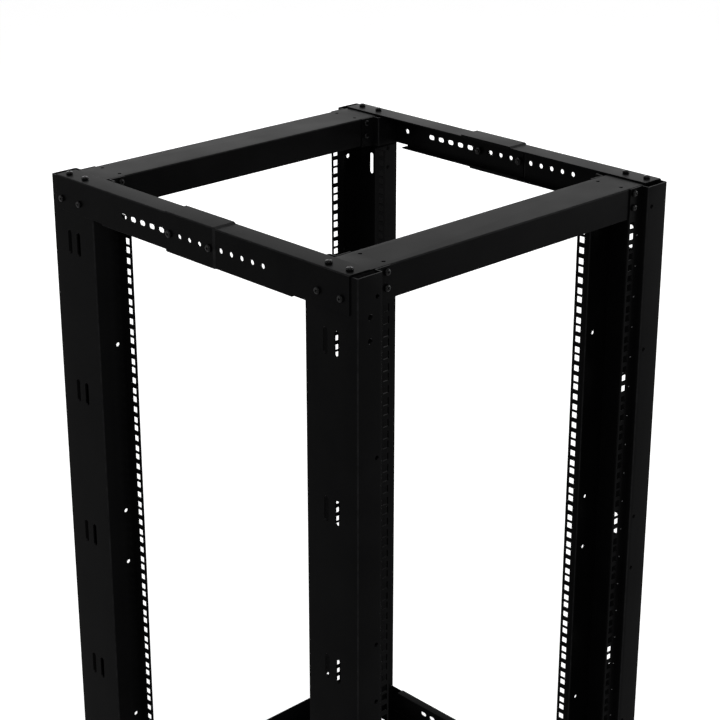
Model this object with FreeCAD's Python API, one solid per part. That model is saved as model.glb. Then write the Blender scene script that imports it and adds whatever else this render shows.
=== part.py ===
import math
import os

import FreeCAD
import Part

os.makedirs("parts", exist_ok=True)

# Four post open frame rack. Millimetres, +Z up, front is -Y, origin on the floor at the centre.

# Overall
width = 580.0             # outside of the post webs
depth = 611.0             # front plane of the front posts to rear plane of the rear posts
units = 22                # rack units between the beams
unit_height = 44.45       # one rack unit
foot_height = 25.0        # floor to the underside of the side rails

# Sheet
sheet = 2.0               # all folded pieces
fold_flat = 1.5           # outside corner of a fold to the edge of the flat across it
hole_sides = 8            # flats of the repeated holes, which are drawn with few faces

# Posts, section seen from above: outer strip, step, outer flange, web, inner flange, inner strip
web_depth = 92.0          # along Y
hole_column_span = 465.1  # centre to centre of the left and right hole columns
strip_rim = 7.55          # hole centre to the free edge of the outer strip
strip_width = 24.0        # flange step to that edge
strip_recess = 11.0       # outer strip behind the flange face
inner_strip_out = 46.0    # inner strip's outer face, from the web's outer face
inner_strip_width = 21.5  # along Y, beyond the inner flange
inner_strip_rim = 8.35    # hole centre to the free edge of the inner strip
square_hole = 9.5
hole_step_small = 12.7    # across the line between two units
hole_step_large = 15.875
end_margin = 46.0         # post end to the first rack unit
notch_gap = 3.0           # relief in the inner flange between the strip and the beam seat
beam_clearance = 2.0      # beam edge to that relief

# Post openings
slot_units = 5            # spacing of the cable tie slots, in rack units
slot_first = 1            # first pair, in rack units from the end of the hole zone
slot_length = 34.0
slot_width = 8.0
slot_spacing = 20.0       # between the two slots of a pair
side_hole = 6.0           # small holes in a row near the strips
side_hole_in = 9.0        # from the flange's step
side_holes_down = (28.5, 235.8, 493.6)  # from either end, the first in the outer flange only
panel_hole = 7.0          # pair of larger holes in both flanges, at one end
panel_hole_out = 20.2     # from the web's outer face
panel_hole_down = 51.8
panel_hole_spacing = 30.2

# Cross beams, open downwards at the top and upwards at the bottom
beam_height = 42.5
beam_end_hole = 5.0       # pair of small holes near each end
beam_end_hole_in = 67.0   # from the web's outer face
beam_end_hole_spacing = 40.0
beam_end_gap = 0.5        # flange end to the inside of the web
beam_lap_gap = 0.5        # beam wall end to the post's step

# Side rails, a rear section that slides in a front one
rail_width = 34.0         # closed flange, from the web's outer face
rail_lip = 14.0           # open flange
rail_drop = 51.0          # height of the rear section
rail_set_back = 12.5      # rail end behind the post's outer plane
rail_tongue_raise = 3.0   # rail web over the post, above the lip's underside
rail_post_gap = 1.0       # lip end to the post
rail_pitch = 20.0
rail_hole = 7.0
rail_slot = 11.5
rail_bracket_holes = 2    # holes for an accessory, the first of each rail
rail_front_holes = 5      # all holes ahead of the joint
rail_joint_holes = 5      # holes of the front section over slots of the rear one
rail_first_hole = 165.5   # first round hole, from the front plane
rail_joggle_ahead = 10.0  # joggle, ahead of the first joint hole
rail_joggle = 3.0         # length of the joggle
rail_end_cover = 8.5      # front section's end, behind the last joint hole
rail_rear_hole_in = 113.5 # single hole of one hand of rail, from the rear plane
rail_rear_clear = 40.0    # last slot to the single hole, at the least

# Levelling feet
foot_pad = 45.0
foot_sides = 12           # flats round the pad and the stud
foot_pad_height = 9.0
foot_pad_slope = 6.0      # chamfer round the top of the pad
foot_neck = 18.0
foot_stud = 10.0
foot_hole_clearance = 0.5
foot_nut = 17.0           # across flats
foot_nut_height = 6.0
foot_stud_above = 22.0
foot_out = 46.0           # foot centre from the web's outer face

V = FreeCAD.Vector
half = width / 2
strip_out = half - hole_column_span / 2      # hole column from the web's outer face
strip_edge = strip_out + strip_rim
flange_width = strip_edge - strip_width      # flat flange, from the web's outer face
zone = units * unit_height
post_bottom = foot_height + 2 * sheet
post_top = post_bottom + 2 * end_margin + zone
post_middle = (post_top + post_bottom) / 2
zone_bottom = post_bottom + end_margin
zone_top = zone_bottom + zone
rail_last_joint = rail_first_hole + (rail_front_holes + rail_joint_holes - 1) * rail_pitch
rail_slot_room = depth - rail_rear_hole_in - rail_rear_clear - rail_last_joint
rail_slots = int(rail_slot_room // rail_pitch)
rail_joint = rail_first_hole + rail_front_holes * rail_pitch - rail_joggle_ahead
rail_front_end = rail_last_joint + rail_end_cover
rail_middle = (rail_drop + sheet) / 2        # hole row, below the rail's upper face
through = 8 * sheet                          # length of the tools that cut holes
same_place = 1e-6


def folded(path, lift, origin=V(0, 0, 0), up=V(0, 0, 1)):
    """A sheet folded along a path of points, its thickness to the right, drawn out along lift.

    A fold is sharp inside and has one flat across its outside corner.
    """
    near = []
    far = []
    for index, point in enumerate(path):
        ahead = path[min(index + 1, len(path) - 1)] - path[min(index, len(path) - 2)]
        behind = path[max(index, 1)] - path[max(index - 1, 0)]
        right_ahead = ahead.normalize().cross(up)
        right_behind = behind.normalize().cross(up)
        both = right_ahead + right_behind
        opposite = point + both * (2 * sheet / both.dot(both))
        near_outside = behind.cross(ahead).dot(up) < 0
        outside = point if near_outside else opposite
        flat = [outside - behind * fold_flat, outside + ahead * fold_flat]
        if index in (0, len(path) - 1):
            near.append(point)
            far.append(opposite)
        else:
            near += flat if near_outside else [point]
            far += [opposite] if near_outside else flat
    outline = near + far[::-1]
    solid = Part.Face(Part.makePolygon(outline + outline[:1])).extrude(lift)
    solid.translate(origin)
    return solid


def plan(points):
    return [V(x, y, 0) for x, y in points]


def round_tool(diameter, centre, axis):
    return Part.makeCylinder(diameter / 2, through, centre - axis * (through / 2), axis)


def hole_tool(wide, centre, axis, along=None, length=None):
    """A hole of few flats, wide across them, and drawn out to a slot of that length along one way."""
    along = along or V(axis.y, axis.z, axis.x)
    across = along.cross(axis)
    reach = ((length or wide) - wide) / 2
    radius = wide / 2 / math.cos(math.pi / hole_sides)
    start = centre - axis * (through / 2)
    points = []
    for index in range(hole_sides):
        angle = math.pi * (2 * index + 1) / hole_sides
        tip = math.copysign(reach, math.cos(angle)) + radius * math.cos(angle)
        points.append(start + along * tip + across * (radius * math.sin(angle)))
    return Part.Face(Part.makePolygon(points + points[:1])).extrude(axis * through)


def unit_hole_heights():
    heights = []
    for unit in range(units):
        lowest = zone_bottom + unit * unit_height + hole_step_small / 2
        heights += [lowest + step * hole_step_large for step in range(3)]
    return heights


def square_tool(centre, size_x, size_y):
    low_corner = centre - V(size_x / 2, size_y / 2, square_hole / 2)
    return Part.makeBox(size_x, size_y, square_hole, low_corner)


def mirrored(shape, left, front):
    """The front left piece, turned into the one of another corner."""
    if not left:
        shape = shape.mirror(V(0, 0, 0), V(1, 0, 0))
    if not front:
        shape = shape.mirror(V(0, 0, 0), V(0, 1, 0))
    return shape


def post():
    """Front left post, web outer face at x 0 and flange face at y 0."""
    front = [(strip_edge, strip_recess), (flange_width, strip_recess), (flange_width, 0), (0, 0)]
    mounting = front + [
        (0, web_depth),
        (inner_strip_out, web_depth),
        (inner_strip_out, web_depth + inner_strip_width),
    ]
    inner_recess = web_depth - strip_recess
    seat = front + [
        (0, web_depth),
        (flange_width, web_depth),
        (flange_width, inner_recess),
        (strip_edge, inner_recess),
    ]
    relief = front + [(0, web_depth - fold_flat)]
    seat_height = beam_height + beam_clearance
    levels = [
        (seat, post_bottom, post_bottom + seat_height),
        (relief, post_bottom + seat_height, post_bottom + seat_height + notch_gap),
        (mounting, post_bottom + seat_height + notch_gap, post_top - seat_height - notch_gap),
        (relief, post_top - seat_height - notch_gap, post_top - seat_height),
        (seat, post_top - seat_height, post_top),
    ]
    pieces = [folded(plan(path), V(0, 0, high - low), V(0, 0, low)) for path, low, high in levels]
    body = pieces[0].fuse(pieces[1:]).removeSplitter()

    tools = []
    strip_middle = strip_recess + sheet / 2
    inner_middle = inner_strip_out + sheet / 2
    inner_column = web_depth + inner_strip_width - inner_strip_rim
    for height in unit_hole_heights():
        tools.append(square_tool(V(strip_out, strip_middle, height), square_hole, through))
        tools.append(square_tool(V(inner_middle, inner_column, height), through, square_hole))

    pairs = (units - 2 * slot_first) // slot_units + 1
    for index in range(pairs):
        height = zone_top - (slot_first + index * slot_units) * unit_height
        for side in (-1, 1):
            centre = V(sheet / 2, web_depth / 2 + side * slot_spacing / 2, height)
            tools.append(hole_tool(slot_width, centre, V(1, 0, 0), V(0, 0, 1), slot_length))

    outer = sheet / 2
    inner = web_depth - sheet / 2
    for end, away in ((post_top, -1), (post_bottom, 1)):
        rows = [(outer, down) for down in side_holes_down]
        rows += [(inner, down) for down in side_holes_down[1:]]
        for flange, down in rows:
            centre = V(flange_width - side_hole_in, flange, end + away * down)
            tools.append(hole_tool(side_hole, centre, V(0, 1, 0)))
    for flange in (outer, inner):
        for step in (0, 1):
            height = post_top - panel_hole_down - step * panel_hole_spacing
            tools.append(hole_tool(panel_hole, V(panel_hole_out, flange, height), V(0, 1, 0)))
    return body.cut(tools)


def beam():
    """Top front beam, open downwards, its ends inside the front posts."""
    face = strip_recess + sheet
    back = web_depth - face
    low = post_top - beam_height
    across = width - 2 * (flange_width + beam_lap_gap)
    path = [V(0, face, low), V(0, face, post_top), V(0, back, post_top), V(0, back, low)]
    start = V(flange_width + beam_lap_gap, 0, 0)
    channel = folded(path, V(across, 0, 0), start, V(1, 0, 0))
    inside = sheet + beam_end_gap
    plate = Part.makeBox(
        width - 2 * inside,
        back - face - 2 * fold_flat,
        sheet,
        V(inside, face + fold_flat, post_top - sheet),
    )
    body = channel.fuse(plate).removeSplitter()
    tools = []
    middle = web_depth / 2
    for x in (beam_end_hole_in, width - beam_end_hole_in):
        for side in (-1, 1):
            centre = V(x, middle + side * beam_end_hole_spacing / 2, post_top - sheet / 2)
            tools.append(hole_tool(beam_end_hole, centre, V(0, 0, 1)))
    return body.cut(tools)


def foot_tool():
    """Bores for the feet's studs through a bottom beam's flange."""
    bore = foot_stud + 2 * foot_hole_clearance
    heights = post_bottom + sheet / 2
    centres = [V(x, web_depth / 2, heights) for x in (foot_out, width - foot_out)]
    return [hole_tool(bore, centre, V(0, 0, 1)) for centre in centres]


def rail_hole_centre(index):
    return V(-sheet, rail_first_hole + index * rail_pitch, post_top + sheet - rail_middle)


def rail_holes(first, count, length=rail_hole):
    centres = [rail_hole_centre(first + index) for index in range(count)]
    return [hole_tool(rail_hole, centre, V(1, 0, 0), V(0, 1, 0), length) for centre in centres]


def rail_channel(start, end, out, rise, drop, lip):
    """A length of channel open inwards: web outer face at -out, upper face at rise."""
    top = post_top + rise
    low = top - drop
    path = [V(rail_width - sheet, start, top), V(-out, start, top), V(-out, start, low)]
    if lip:
        path.append(V(rail_lip - sheet, start, low))
    return folded(path, V(0, end - start, 0), V(0, 0, 0), V(0, 1, 0))


def rail_front():
    """Top left rail, front section: laid on the post, then joggled out round the rear section."""
    lip_start = web_depth + inner_strip_width + rail_post_gap
    drop = rail_drop + sheet
    tongue = rail_channel(
        rail_set_back, lip_start, sheet, sheet, drop - rail_tongue_raise, False
    )
    plain = rail_channel(lip_start, rail_joint, sheet, sheet, drop, True)
    sleeve_start = rail_joint + rail_joggle
    sleeve = rail_channel(sleeve_start, rail_front_end, 2 * sheet, 2 * sheet, drop + sheet, True)
    joggle = loft_between(plain, sleeve, rail_joint, sleeve_start)
    body = tongue.fuse([plain, joggle, sleeve]).removeSplitter()
    plain_holes = rail_front_holes - rail_bracket_holes + rail_joint_holes
    tools = rail_holes(rail_bracket_holes, plain_holes)
    for index in range(rail_bracket_holes):
        tools.append(round_tool(rail_hole, rail_hole_centre(index), V(1, 0, 0)))
    return body.cut(tools)


def loft_between(one, two, start, end):
    """The joggle: from the end section of one to the start section of two."""
    first = [f for f in one.Faces if abs(f.CenterOfMass.y - start) < same_place][0]
    last = [f for f in two.Faces if abs(f.CenterOfMass.y - end) < same_place][0]
    return Part.makeLoft([first.OuterWire, last.OuterWire], True, True)


def rail_rear(single_hole):
    """Top left rail, rear section: it slides in the front one and lies on the rear post."""
    start = rail_joint + rail_joggle + rail_post_gap
    lip_end = depth - web_depth - inner_strip_width - rail_post_gap
    body = rail_channel(start, lip_end, sheet, sheet, rail_drop, True)
    tongue = rail_channel(
        lip_end, depth - rail_set_back, sheet, sheet, rail_drop - rail_tongue_raise, False
    )
    body = body.fuse(tongue).removeSplitter()
    tools = rail_holes(rail_front_holes, rail_joint_holes + rail_slots, rail_slot)
    if single_hole:
        centre = V(-sheet, depth - rail_rear_hole_in, post_top + sheet - rail_middle)
        tools.append(hole_tool(rail_hole, centre, V(1, 0, 0), V(0, 1, 0)))
    return body.cut(tools)


def column(radius, sides, low, high):
    """A level-ended prism of few sides about the Z axis, from low to high."""
    angles = [2 * math.pi * index / sides for index in range(sides)]
    points = [V(radius * math.cos(a), radius * math.sin(a), low) for a in angles]
    return Part.Face(Part.makePolygon(points + points[:1])).extrude(V(0, 0, high - low))


def foot():
    """Levelling foot: pad, neck, nuts on both sides of the beam's flange, and stud."""
    seat = post_bottom
    lower_nut = seat - foot_nut_height
    nut_corner = foot_nut / math.sqrt(3)
    pad = column(foot_pad / 2, foot_sides, 0, foot_pad_height)
    rim = [e for e in pad.Edges if e.BoundBox.ZMin > foot_pad_height / 2]
    pad = pad.makeChamfer(foot_pad_slope, rim)
    body = pad.fuse(
        [
            column(foot_neck / 2, foot_sides, foot_pad_height, lower_nut),
            column(foot_stud / 2, foot_sides, lower_nut, seat + sheet + foot_stud_above),
            column(nut_corner, 6, lower_nut, seat),
            column(nut_corner, 6, seat + sheet, seat + sheet + foot_nut_height),
        ]
    )
    body = body.removeSplitter()
    body.translate(V(foot_out, web_depth / 2, 0))
    return body


def flipped(shape):
    """A top piece turned over for the bottom of the rack."""
    return shape.mirror(V(0, 0, post_middle), V(0, 0, 1))


def turned(shape, axis):
    """A piece turned half round an axis through the middle of the rack."""
    shape = shape.copy()
    shape.rotate(V(0, 0, post_middle), axis, 180)
    return shape


def placed(shape):
    shape = shape.copy()
    shape.translate(V(-half, -depth / 2, 0))
    return shape


def save(name, shape):
    shape.exportStep("parts/" + name + ".step")


# One post for all corners: on one diagonal it is turned over
corner_post = placed(post())
save("front_left_post", corner_post)
save("rear_right_post", turned(corner_post, V(0, 0, 1)))
save("front_right_post", turned(corner_post, V(0, 1, 0)))
save("rear_left_post", turned(corner_post, V(1, 0, 0)))

top_beam = beam()
bottom_beam = flipped(top_beam).cut(foot_tool())
for front, end in ((True, "front"), (False, "rear")):
    save("top_" + end + "_beam", mirrored(placed(top_beam), True, front))
    save("bottom_" + end + "_beam", mirrored(placed(bottom_beam), True, front))
    for left, side in ((True, "left"), (False, "right")):
        save(end + "_" + side + "_foot", mirrored(placed(foot()), left, front))

for left, side in ((True, "left"), (False, "right")):
    for section, top, bottom in (
        ("front", rail_front(), rail_front()),
        ("rear", rail_rear(not left), rail_rear(left)),
    ):
        save("top_" + side + "_rail_" + section, mirrored(placed(top), left, True))
        save("bottom_" + side + "_rail_" + section, mirrored(placed(flipped(bottom)), left, True))
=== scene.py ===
import math

import bmesh
import bpy
from mathutils import Matrix, Vector

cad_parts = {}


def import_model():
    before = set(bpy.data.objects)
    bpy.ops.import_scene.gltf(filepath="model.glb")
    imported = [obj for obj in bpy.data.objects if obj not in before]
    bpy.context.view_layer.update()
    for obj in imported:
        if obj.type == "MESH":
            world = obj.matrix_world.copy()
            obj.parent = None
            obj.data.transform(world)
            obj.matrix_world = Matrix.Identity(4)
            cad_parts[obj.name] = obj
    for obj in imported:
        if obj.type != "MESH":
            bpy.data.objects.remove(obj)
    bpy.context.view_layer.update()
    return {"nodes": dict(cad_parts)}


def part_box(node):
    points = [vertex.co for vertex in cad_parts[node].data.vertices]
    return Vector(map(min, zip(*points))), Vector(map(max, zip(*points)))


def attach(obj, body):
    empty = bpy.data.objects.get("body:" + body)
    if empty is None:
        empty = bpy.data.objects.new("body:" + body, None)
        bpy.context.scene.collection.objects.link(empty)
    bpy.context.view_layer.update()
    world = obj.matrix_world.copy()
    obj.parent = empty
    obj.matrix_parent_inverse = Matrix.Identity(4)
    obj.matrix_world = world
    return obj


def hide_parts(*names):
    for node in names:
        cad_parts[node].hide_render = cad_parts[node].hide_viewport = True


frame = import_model()

# Sizes in metres. Where a piece sits comes from the frame's boxes and these.
SHEET = 0.002
HOLE_COLUMNS = 0.4651        # between the left and right square hole columns
STRIP_RECESS = 0.011         # hole strip behind the post's flange
WEB_DEPTH = 0.092            # post, along Y
UNIT = 0.04445
END_MARGIN = 0.046           # post end to the first unit

# Fasteners. "In" is from a post's outer plane, and "down" from its nearer end.
BEAM_SCREWS_DOWN = (0.007, 0.027)      # their X is that of the hole columns
WEB_SCREWS_IN = (0.026, 0.066)
WEB_SCREWS_DOWN = 0.0295
TOP_SCREWS_IN = (0.026, 0.062)
TOP_SCREWS_OUT = 0.012       # from the web's outer face
JOINT_BOLTS_BACK = (0.2655, 0.3455)    # from the front plane
JOINT_BOLTS_DOWN = 0.0245
SCREW_HEAD = 0.0094          # diameter
SCREW_RISE = 0.0038
SCREW_NUT = 0.008            # across flats
SCREW_NUT_HEIGHT = 0.004
SCREW_RADIUS = 0.0025
BOLT_HEAD = 0.0104
BOLT_RISE = 0.0038
BOLT_NUT = 0.010
BOLT_NUT_HEIGHT = 0.005
BOLT_RADIUS = 0.003
FASTENER_TURN = 37           # degrees from one to the next, so that their recesses don't line up

MARK_OUT = 0.0465            # unit mark, from the web's outer face
MARK_WIDTH = 0.0022
MARK_HEIGHT = 0.0011
MARK_RISE = 0.00006

# Levelling feet
PAD_SIDES = 48
PAD_PROFILE = (              # (share of the pad's radius, height), from the floor up
    (0.0, 0.0),
    (0.96, 0.0),
    (1.0, 0.0012),
    (1.0, 0.0026),
    (0.95, 0.0036),
    (0.72, 0.0076),
    (0.66, 0.0088),
    (0.42, 0.009),
)
NECK = 0.40                  # share of the pad's radius
NECK_TIP = 0.36              # and over the chamfer
NECK_CHAMFER = 0.001
STUD_RADIUS = 0.005
STUD_PITCH = 0.0015
STUD_SIDES = 20
THREAD_ROOT = 0.86           # share of the stud's radius
FOOT_NUT = 0.017             # across flats
FOOT_NUT_HEIGHT = 0.006
FOOT_NUT_BORE = 0.0052       # radius
FOOT_NUT_FACE = 0.0078       # radius of the flat top
FOOT_NUT_CHAMFER_AT = 0.9    # share of the height

# Edges and shading
EDGE_ROUND = 0.0004          # cut edges under the coat
EDGE_STEPS = 2
EDGE_ANGLE = 60              # degrees or more; the flats of folds and round holes meet at less
FLAT_ANGLE = 0.5             # degrees between triangles that make one flat face
SHARP_ANGLE = 32             # degrees between faces that stay sharp on the small pieces
SAME_POINT = 1e-6

CAMERA_PLACE = (-1.662, -1.745, 1.797)
CAMERA_TURN = 43.7           # degrees, from looking along +Y towards +X
CAMERA_DOWN = 20.35
CAMERA_LENS = 91.6           # mm, on a 36 mm sensor
CAMERA_SENSOR = 36.0
CAMERA_SHIFT = -0.067

LAMP_AWAY = 5.0
LAMP_AIM = (0.0, 0.0, 0.75)
LAMPS = (                    # name, degrees round from the front, degrees up, side, watts
    ("key", -45.0, 38.0, 2.0, 50.0),
    ("front_right", 52.0, 7.0, 2.0, 130.0),
    ("rear_left", 232.0, 7.0, 2.0, 60.0),
    ("rear_right", 138.0, 20.0, 4.0, 65.0),
)
WORLD_LEVEL = 0.55           # light on the object from all round
FLOOR_REACH = 30.0           # from the middle to each side
FLOOR_LIFT = 0.505           # added where the camera or a reflection sees the floor

COAT_SLOT = "black_powder_coat"
ZINC_SLOT = "zinc_steel"


# Materials

NOISE_SPAN = (0.3, 0.7)      # what most of a noise texture's values lie between
SQUARE = 0.99                # a flat face's normal has a part at least this large
SLANTED = 0.93               # a fold's has none this large


def shader(name):
    material = bpy.data.materials.new(name)
    material.use_nodes = True
    tree = material.node_tree
    return material, tree.nodes, tree.links, tree.nodes["Principled BSDF"]


def noise(nodes, links, scale, detail):
    """Noise in the piece's own metres, with the scale in spots a metre."""
    place = nodes.new("ShaderNodeTexCoord")
    texture = nodes.new("ShaderNodeTexNoise")
    texture.inputs["Scale"].default_value = scale
    texture.inputs["Detail"].default_value = detail
    links.new(place.outputs["Object"], texture.inputs["Vector"])
    return texture.outputs["Fac"]


def calculated(nodes, links, operation, *values):
    """A Math node's result from one or two outputs."""
    node = nodes.new("ShaderNodeMath")
    node.operation = operation
    for value, socket in zip(values, node.inputs):
        links.new(value, socket)
    return node.outputs[0]


def ranged(nodes, links, value, low, high, span=NOISE_SPAN):
    """The value's span stretched to low and high."""
    spread = nodes.new("ShaderNodeMapRange")
    spread.inputs["From Min"].default_value = span[0]
    spread.inputs["From Max"].default_value = span[1]
    spread.inputs["To Min"].default_value = low
    spread.inputs["To Max"].default_value = high
    links.new(value, spread.inputs["Value"])
    return spread.outputs["Result"]


def blended(nodes, links, value, *colours):
    """A noise value as a colour between two."""
    ramp = nodes.new("ShaderNodeValToRGB")
    for stop, position, colour in zip(ramp.color_ramp.elements, NOISE_SPAN, colours):
        stop.position = position
        stop.color = (*colour, 1.0)
    links.new(value, ramp.inputs["Fac"])
    return ramp.outputs["Color"]


def mixed(nodes, links, share, one, two):
    """The first colour where the share is 0, and the second where it is 1."""
    mix = nodes.new("ShaderNodeMix")
    mix.data_type = "RGBA"
    into = {socket.identifier: socket for socket in mix.inputs}
    out = {socket.identifier: socket for socket in mix.outputs}
    links.new(share, into["Factor_Float"])
    links.new(one, into["A_Color"])
    links.new(two, into["B_Color"])
    return out["Result_Color"]


def bumped(nodes, links, bsdf, *heights):
    """Bump from several (height output, depth in metres), each on top of the one before."""
    normal = None
    for height, depth in heights:
        bump = nodes.new("ShaderNodeBump")
        bump.inputs["Strength"].default_value = 1.0
        bump.inputs["Distance"].default_value = depth
        links.new(height, bump.inputs["Height"])
        if normal:
            links.new(normal, bump.inputs["Normal"])
        normal = bump.outputs["Normal"]
    links.new(normal, bsdf.inputs["Normal"])


def slanted(nodes, links):
    """1 on folds and rounded edges, which face no axis squarely, and 0 on the flats."""
    geometry = nodes.new("ShaderNodeNewGeometry")
    parts = nodes.new("ShaderNodeSeparateXYZ")
    links.new(geometry.outputs["True Normal"], parts.inputs["Vector"])
    x, y, z = [calculated(nodes, links, "ABSOLUTE", parts.outputs[axis]) for axis in "XYZ"]
    largest = calculated(nodes, links, "MAXIMUM", calculated(nodes, links, "MAXIMUM", x, y), z)
    return ranged(nodes, links, largest, 0.0, 1.0, span=(SQUARE, SLANTED))


def seen(nodes, links):
    """1 where the camera, a reflection or a clear surface looks, and 0 for light on the object."""
    rays = nodes.new("ShaderNodeLightPath")
    found = rays.outputs["Is Camera Ray"]
    for other in ("Is Glossy Ray", "Is Transmission Ray"):
        found = calculated(nodes, links, "MAXIMUM", found, rays.outputs[other])
    return found


def powder_coat():
    """Satin black powder: faint mottle, orange peel and fine grain, and a painted highlight: a
    lighter base colour on folds and rounded edges.
    """
    material, nodes, links, bsdf = shader("satin_black_coat")
    mottle = noise(nodes, links, scale=14.0, detail=3.0)
    peel = noise(nodes, links, scale=420.0, detail=2.0)
    grain = noise(nodes, links, scale=1500.0, detail=1.0)
    highlight_noise = noise(nodes, links, scale=90.0, detail=4.0)
    flat = blended(nodes, links, mottle, (0.0018, 0.0018, 0.0019), (0.0026, 0.0026, 0.0027))
    # Painted highlight: folds and rounded edges get a lighter base colour in place of the light they
    # catch, varied by a noise.
    painted_highlight = blended(nodes, links, highlight_noise, (0.0060, 0.0060, 0.0062), (0.0110, 0.0110, 0.0113))
    colour = mixed(nodes, links, slanted(nodes, links), flat, painted_highlight)
    links.new(colour, bsdf.inputs["Base Color"])
    links.new(ranged(nodes, links, mottle, 0.28, 0.36), bsdf.inputs["Roughness"])
    bsdf.inputs["IOR"].default_value = 1.05
    bumped(nodes, links, bsdf, (peel, 0.00002), (grain, 0.000006))
    return material


def black_screw():
    """Blackened screw steel, smoother and glossier than the coat."""
    material, nodes, links, bsdf = shader("blackened_steel")
    stain = noise(nodes, links, scale=260.0, detail=3.0)
    colour = blended(nodes, links, stain, (0.0008, 0.0008, 0.0009), (0.0020, 0.0020, 0.0021))
    links.new(colour, bsdf.inputs["Base Color"])
    links.new(ranged(nodes, links, stain, 0.20, 0.28), bsdf.inputs["Roughness"])
    bsdf.inputs["IOR"].default_value = 1.16
    bumped(nodes, links, bsdf, (stain, 0.00001))
    return material


def zinc():
    """Bright zinc with the faint grain of the plating."""
    material, nodes, links, bsdf = shader("zinc_plate")
    cloud = noise(nodes, links, scale=90.0, detail=3.0)
    grain = noise(nodes, links, scale=1200.0, detail=2.0)
    colour = blended(nodes, links, cloud, (0.50, 0.51, 0.53), (0.62, 0.63, 0.64))
    links.new(colour, bsdf.inputs["Base Color"])
    links.new(ranged(nodes, links, cloud, 0.28, 0.42), bsdf.inputs["Roughness"])
    bsdf.inputs["Metallic"].default_value = 1.0
    bumped(nodes, links, bsdf, (grain, 0.000008))
    return material


def black_plastic():
    """Moulded foot pad, with the mould's fine spark texture."""
    material, nodes, links, bsdf = shader("black_plastic")
    cloud = noise(nodes, links, scale=60.0, detail=2.0)
    spark = noise(nodes, links, scale=900.0, detail=3.0)
    colour = blended(nodes, links, cloud, (0.012, 0.012, 0.012), (0.018, 0.018, 0.018))
    links.new(colour, bsdf.inputs["Base Color"])
    links.new(ranged(nodes, links, spark, 0.5, 0.65), bsdf.inputs["Roughness"])
    bumped(nodes, links, bsdf, (spark, 0.00003))
    return material


def mark_paint():
    """Screen printed marks, thin over the coat's peel."""
    material, nodes, links, bsdf = shader("mark_paint")
    wear = noise(nodes, links, scale=700.0, detail=2.0)
    colour = blended(nodes, links, wear, (0.10, 0.10, 0.10), (0.16, 0.16, 0.16))
    links.new(colour, bsdf.inputs["Base Color"])
    bsdf.inputs["Roughness"].default_value = 0.6
    bumped(nodes, links, bsdf, (wear, 0.00001))
    return material


def floor_paint():
    """Pale floor that reads as a white background, and keeps the shadow."""
    material, nodes, links, bsdf = shader("studio_floor")
    cloud = noise(nodes, links, scale=3.0, detail=2.0)
    colour = blended(nodes, links, cloud, (0.79, 0.79, 0.79), (0.80, 0.80, 0.80))
    links.new(colour, bsdf.inputs["Base Color"])
    bsdf.inputs["Roughness"].default_value = 0.9
    bsdf.inputs["Emission Color"].default_value = (1.0, 1.0, 1.0, 1.0)
    lift = ranged(nodes, links, seen(nodes, links), 0.0, FLOOR_LIFT, span=(0.0, 1.0))
    links.new(lift, bsdf.inputs["Emission Strength"])
    return material


COAT = powder_coat()
SCREW_STEEL = black_screw()
ZINC = zinc()
PLASTIC = black_plastic()
MARKS = mark_paint()


# Mesh templates: a list of points and a list of faces, standing on z 0 and pointing along +Z


def turned(profile, sides):
    """A profile of (radius, height), turned about Z. A radius of 0 closes to one point."""
    points = []
    rings = []
    for radius, height in profile:
        count = 1 if radius == 0 else sides
        rings.append(range(len(points), len(points) + count))
        for index in range(count):
            angle = 2 * math.pi * index / sides
            points.append((radius * math.cos(angle), radius * math.sin(angle), height))
    faces = []
    for low, high in zip(rings, rings[1:]):
        for index in range(sides):
            after = (index + 1) % sides
            if len(low) == 1:
                faces.append((low[0], high[after], high[index]))
            elif len(high) == 1:
                faces.append((low[index], low[after], high[0]))
            else:
                faces.append((low[index], low[after], high[after], high[index]))
    return points, faces


def together(templates):
    """Several templates as one."""
    points = []
    faces = []
    for more_points, more_faces in templates:
        start = len(points)
        points += more_points
        faces += [tuple(start + corner for corner in face) for face in more_faces]
    return points, faces


def cross_outline(arm, half_width, height):
    """The twelve corners of a cross recess."""
    corners = []
    for quarter in range(4):
        turn = Matrix.Rotation(quarter * math.pi / 2, 3, "Z")
        for x, y in ((arm, -half_width), (arm, half_width), (half_width, half_width)):
            corners.append(turn @ Vector((x, y, height)))
    return corners


def pan_head(diameter, rise):
    """A domed head with a cross recess."""
    sides = 24
    dome_steps = 5
    radius = diameter / 2
    base = 0.94 * radius         # where the head meets the sheet
    base_rise = 0.1 * rise
    crown = 0.5 * radius         # the dome's flat middle
    side = 0.5                   # share of the rise that is upright
    arm = 0.46 * radius          # recess, at its mouth
    slot = 0.13 * radius
    deep_arm = 0.55 * arm        # and at its bottom
    deep_slot = 0.8 * slot
    deep_rise = 0.35 * rise
    profile = [(base, 0.0), (radius, base_rise), (radius, rise * side)]
    for step in range(1, dome_steps + 1):
        angle = step / dome_steps * math.pi / 2
        around = crown + (radius - crown) * math.cos(angle)
        profile.append((around, rise * (side + (1 - side) * math.sin(angle))))
    made = bmesh.new()
    points, faces = turned(profile, sides)
    corners = [made.verts.new(point) for point in points]
    for face in faces:
        made.faces.new([corners[index] for index in face])
    top = corners[-sides:]
    mouth = [made.verts.new(point) for point in cross_outline(arm, slot, rise)]
    deep = [made.verts.new(point) for point in cross_outline(deep_arm, deep_slot, deep_rise)]
    edges = [made.edges.get((top[i], top[(i + 1) % sides])) for i in range(sides)]
    count = len(mouth)
    edges += [made.edges.new((mouth[i], mouth[(i + 1) % count])) for i in range(count)]
    bmesh.ops.triangle_fill(made, use_beauty=True, edges=edges, normal=(0, 0, 1))
    for index in range(count):
        after = (index + 1) % count
        made.faces.new((mouth[index], deep[index], deep[after], mouth[after]))
    made.faces.new(deep)
    bmesh.ops.recalc_face_normals(made, faces=made.faces)
    made.verts.index_update()
    result = [tuple(v.co) for v in made.verts], [[v.index for v in f.verts] for f in made.faces]
    made.free()
    return result


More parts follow.
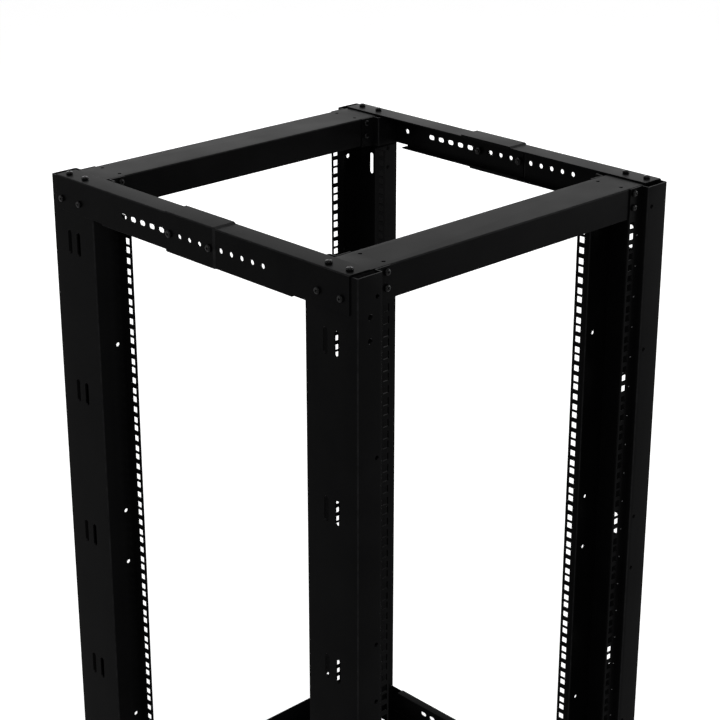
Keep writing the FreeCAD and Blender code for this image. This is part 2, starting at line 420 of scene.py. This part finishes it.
def nut(across, height, bolt):
    """A hexagon nut with the end of a bolt, of that radius, standing out of it."""
    corner = across / math.sqrt(3)
    rim = 0.46 * across          # radius of the chamfered top
    top = 1.08 * height
    bolt_foot = 0.9 * height     # the bolt's end starts inside the nut
    bolt_side = 1.3 * height
    bolt_top = 1.42 * height
    bolt_tip = 0.8 * bolt
    bolt_sides = 16
    bolt_end = [(bolt, bolt_foot), (bolt, bolt_side), (bolt_tip, bolt_top), (0.0, bolt_top)]
    return together((
        turned([(corner, 0.0), (corner, height)], 6),
        turned([(corner, height), (rim, top), (bolt, top)], 6),
        turned(bolt_end, bolt_sides),
    ))


def thread(radius, pitch, length, sides):
    """A stud with a real helix: each ring climbs one pitch a turn."""
    rings = 2                    # a pitch: one at the root and one at the crest
    steps = int(length / pitch * rings)
    points = []
    faces = []
    for step in range(steps + 1):
        depth = radius if step % rings else radius * THREAD_ROOT
        for index in range(sides):
            angle = 2 * math.pi * index / sides
            climb = pitch * index / sides
            height = min(max((step - 1) * pitch / rings + climb, 0.0), length)
            points.append((depth * math.cos(angle), depth * math.sin(angle), height))
    for step in range(steps):
        for index in range(sides):
            after = (index + 1) % sides
            lift = rings if after == 0 else 0
            if step + 1 + lift > steps:
                continue
            low = step * sides
            high = (step + 1) * sides
            faces.append((low + index, low + lift * sides + after,
                          high + lift * sides + after, high + index))
    return points, faces


# Pieces from templates


def piece(name, points, faces, material, slot):
    """An object on the rack's body, smooth but for its sharp corners."""
    mesh = bpy.data.meshes.new(name)
    mesh.from_pydata(points, [], faces)
    mesh.validate()
    made = bmesh.new()
    made.from_mesh(mesh)
    bmesh.ops.recalc_face_normals(made, faces=made.faces)
    made.to_mesh(mesh)
    made.free()
    mesh.materials.append(material)
    mesh.shade_smooth()
    mesh.set_sharp_from_angle(angle=math.radians(SHARP_ANGLE))
    made_object = bpy.data.objects.new(name, mesh)
    bpy.context.scene.collection.objects.link(made_object)
    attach(made_object, "root")
    return made_object


def joined(name, template, places, material, slot):
    """One piece of a template at every place, a place being a point and a direction."""
    copies = []
    for index, (point, direction) in enumerate(places):
        turn = Vector(direction).to_track_quat("Z", "Y").to_matrix().to_4x4()
        spin = Matrix.Rotation(math.radians(FASTENER_TURN * index), 4, "Z")
        move = Matrix.Translation(point) @ turn @ spin
        copies.append(([move @ Vector(corner) for corner in template[0]], template[1]))
    points, faces = together(copies)
    return piece(name, points, faces, material, slot)


def coated(node):
    """A folded piece keeps its CAD mesh, and modifiers round its edges."""
    sheet_piece = frame["nodes"][node]
    mesh = sheet_piece.data
    mesh.materials.clear()
    mesh.materials.append(COAT)
    if "custom_normal" in mesh.attributes:
        mesh.attributes.remove(mesh.attributes["custom_normal"])
    mesh.shade_smooth()
    weld = sheet_piece.modifiers.new("weld", "WELD")
    weld.merge_threshold = SAME_POINT
    flats = sheet_piece.modifiers.new("flats", "DECIMATE")
    flats.decimate_type = "DISSOLVE"
    flats.angle_limit = math.radians(FLAT_ANGLE)
    edges = sheet_piece.modifiers.new("edges", "BEVEL")
    edges.width = EDGE_ROUND
    edges.segments = EDGE_STEPS
    edges.limit_method = "ANGLE"
    edges.angle_limit = math.radians(EDGE_ANGLE)
    sheet_piece.modifiers.new("shade", "WEIGHTED_NORMAL")


# Fasteners. Each function gives the places of the heads and of the nuts behind them.


def posts():
    """(side, end, web x, outer plane y, low, high) of each post, side and end being -1 or 1."""
    found = []
    for end, row in ((-1, "front"), (1, "rear")):
        for side, column in ((-1, "left"), (1, "right")):
            low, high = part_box(f"{row}_{column}_post")
            web = low.x if side < 0 else high.x
            plane = low.y if end < 0 else high.y
            found.append((side, end, web, plane, low.z, high.z))
    return found


def levels(low, high):
    """(height of the post end, direction outwards) at the top and the bottom."""
    return ((high, 1), (low, -1))


def beam_screws(inner):
    """Through the inner or outer hole strips into the beam's walls."""
    heads = []
    nuts = []
    for side, end, _web, plane, low, high in posts():
        x = side * HOLE_COLUMNS / 2
        depth = WEB_DEPTH - STRIP_RECESS if inner else STRIP_RECESS
        facing = -end if inner else end
        face = plane - end * depth
        behind = face - facing * 2 * SHEET
        for height, up in levels(low, high):
            for down in BEAM_SCREWS_DOWN:
                z = height - up * down
                heads.append(((x, face, z), (0, facing, 0)))
                nuts.append(((x, behind, z), (0, -facing, 0)))
    return heads, nuts


def rail_screws():
    """Through the rails into the posts' webs and down into the beams."""
    heads = []
    nuts = []
    for side, end, web, plane, low, high in posts():
        for height, up in levels(low, high):
            for back in WEB_SCREWS_IN:
                y = plane - end * back
                z = height - up * WEB_SCREWS_DOWN
                heads.append(((web + side * SHEET, y, z), (side, 0, 0)))
                nuts.append(((web - side * SHEET, y, z), (-side, 0, 0)))
            for back in TOP_SCREWS_IN:
                x = web - side * TOP_SCREWS_OUT
                y = plane - end * back
                heads.append(((x, y, height + up * SHEET), (0, 0, up)))
                nuts.append(((x, y, height - up * SHEET), (0, 0, -up)))
    return heads, nuts


def joint_bolts():
    """Through both sections of each rail."""
    heads = []
    nuts = []
    for side, end, web, plane, low, high in posts():
        if end > 0:
            continue
        for height, up in levels(low, high):
            for back in JOINT_BOLTS_BACK:
                y = plane + back
                z = height - up * JOINT_BOLTS_DOWN
                heads.append(((web + side * 2 * SHEET, y, z), (side, 0, 0)))
                nuts.append(((web, y, z), (-side, 0, 0)))
    return heads, nuts


def fasteners():
    screw = pan_head(SCREW_HEAD, SCREW_RISE)
    screw_nut = nut(SCREW_NUT, SCREW_NUT_HEIGHT, SCREW_RADIUS)
    bolt = pan_head(BOLT_HEAD, BOLT_RISE)
    bolt_nut = nut(BOLT_NUT, BOLT_NUT_HEIGHT, BOLT_RADIUS)
    for name, head_name, places, head, behind in (
        ("beam_outer", "screws", beam_screws(inner=False), screw, screw_nut),
        ("beam_inner", "screws", beam_screws(inner=True), screw, screw_nut),
        ("rail", "screws", rail_screws(), screw, screw_nut),
        ("joint", "bolts", joint_bolts(), bolt, bolt_nut),
    ):
        joined(f"{name}_{head_name}", head, places[0], SCREW_STEEL, COAT_SLOT)
        joined(f"{name}_nuts", behind, places[1], SCREW_STEEL, COAT_SLOT)


def unit_marks():
    """A printed mark at the middle of each unit, beside the square holes of the outer strips."""
    sides = [(i, (i + 1) % 4, (i + 1) % 4 + 4, i + 4) for i in range(4)]
    quads = [(0, 1, 2, 3), (4, 5, 6, 7), *sides]
    marks = []
    for side, end, web, plane, low, high in posts():
        units = round((high - low - 2 * END_MARGIN) / UNIT)
        x = web - side * MARK_OUT
        face = plane - end * STRIP_RECESS
        for unit in range(units):
            z = low + END_MARGIN + (unit + 0.5) * UNIT
            points = []
            for y in (face, face + end * MARK_RISE):
                for across, up in ((-1, -1), (1, -1), (1, 1), (-1, 1)):
                    points.append((x + across * MARK_WIDTH / 2, y, z + up * MARK_HEIGHT / 2))
            marks.append((points, quads))
    piece("unit_marks", *together(marks), MARKS, COAT_SLOT)


# Levelling feet, in place of the plain CAD feet


def foot(corner):
    """Pad with its neck, threaded stud, and a nut under and over the beam's sheet."""
    node = f"{corner}_foot"
    low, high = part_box(node)
    x = (low.x + high.x) / 2
    y = (low.y + high.y) / 2
    pad = (high.x - low.x) / 2
    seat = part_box(f"{corner}_post")[0].z
    neck_top = seat - FOOT_NUT_HEIGHT
    profile = [(pad * share, height) for share, height in PAD_PROFILE]
    profile += [
        (pad * NECK, neck_top - NECK_CHAMFER),
        (pad * NECK_TIP, neck_top),
        (0.0, neck_top),
    ]
    floor_place = [((x, y, 0.0), (0, 0, 1))]
    joined(f"{corner}_pad", turned(profile, PAD_SIDES), floor_place, PLASTIC, ZINC_SLOT)
    helix = thread(STUD_RADIUS, STUD_PITCH, high.z - neck_top, STUD_SIDES)
    stud = joined(f"{corner}_stud", helix, [((x, y, neck_top), (0, 0, 1))], ZINC, ZINC_SLOT)
    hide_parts(node)
    edge = FOOT_NUT / math.sqrt(3)
    nut_profile = [
        (FOOT_NUT_BORE, 0.0),
        (edge, 0.0),
        (edge, FOOT_NUT_HEIGHT * FOOT_NUT_CHAMFER_AT),
        (FOOT_NUT_FACE, FOOT_NUT_HEIGHT),
        (FOOT_NUT_BORE, FOOT_NUT_HEIGHT),
        (FOOT_NUT_BORE, 0.0),
    ]
    nuts = [((x, y, seat), (0, 0, -1)), ((x, y, seat + SHEET), (0, 0, 1))]
    joined(f"{corner}_foot_nuts", turned(nut_profile, 6), nuts, ZINC, ZINC_SLOT)


for node in frame["nodes"]:
    if not node.endswith("_foot"):
        coated(node)
fasteners()
unit_marks()
for corner in ("front_left", "front_right", "rear_left", "rear_right"):
    foot(corner)


# Floor, light and camera


def stage():
    mesh = bpy.data.meshes.new("floor")
    corners = ((-1, -1), (1, -1), (1, 1), (-1, 1))
    points = [(x * FLOOR_REACH, y * FLOOR_REACH, 0) for x, y in corners]
    mesh.from_pydata(points, [], [(0, 1, 2, 3)])
    mesh.materials.append(floor_paint())
    floor = bpy.data.objects.new("floor", mesh)
    bpy.context.scene.collection.objects.link(floor)


def world():
    """White where it is seen, and a plain level for the light on the object."""
    studio = bpy.data.worlds.new("studio")
    bpy.context.scene.world = studio
    studio.use_nodes = True
    nodes = studio.node_tree.nodes
    links = studio.node_tree.links
    background = nodes["Background"]
    background.inputs["Color"].default_value = (1.0, 1.0, 1.0, 1.0)
    level = ranged(nodes, links, seen(nodes, links), WORLD_LEVEL, 1.0, span=(0.0, 1.0))
    links.new(level, background.inputs["Strength"])


def lamps():
    """Square soft boxes aimed at the upper middle of the rack."""
    aim = Vector(LAMP_AIM)
    for name, turn, up, side, power in LAMPS:
        around = math.radians(turn)
        rise = math.radians(up)
        way = Vector((
            math.sin(around) * math.cos(rise), -math.cos(around) * math.cos(rise), math.sin(rise)
        ))
        data = bpy.data.lights.new(name, "AREA")
        data.size = side
        data.energy = power
        light = bpy.data.objects.new(name, data)
        light.location = aim + LAMP_AWAY * way
        light.rotation_euler = (-way).to_track_quat("-Z", "Y").to_euler()
        bpy.context.scene.collection.objects.link(light)


def camera():
    data = bpy.data.cameras.new("camera")
    data.lens = CAMERA_LENS
    data.sensor_width = CAMERA_SENSOR
    data.shift_y = CAMERA_SHIFT
    view = bpy.data.objects.new("camera", data)
    view.location = CAMERA_PLACE
    down = math.radians(90 - CAMERA_DOWN)
    view.rotation_euler = (down, 0.0, math.radians(-CAMERA_TURN))
    bpy.context.scene.collection.objects.link(view)
    bpy.context.scene.camera = view


stage()
world()
lamps()
camera()
bpy.context.scene.view_settings.view_transform = "Standard"
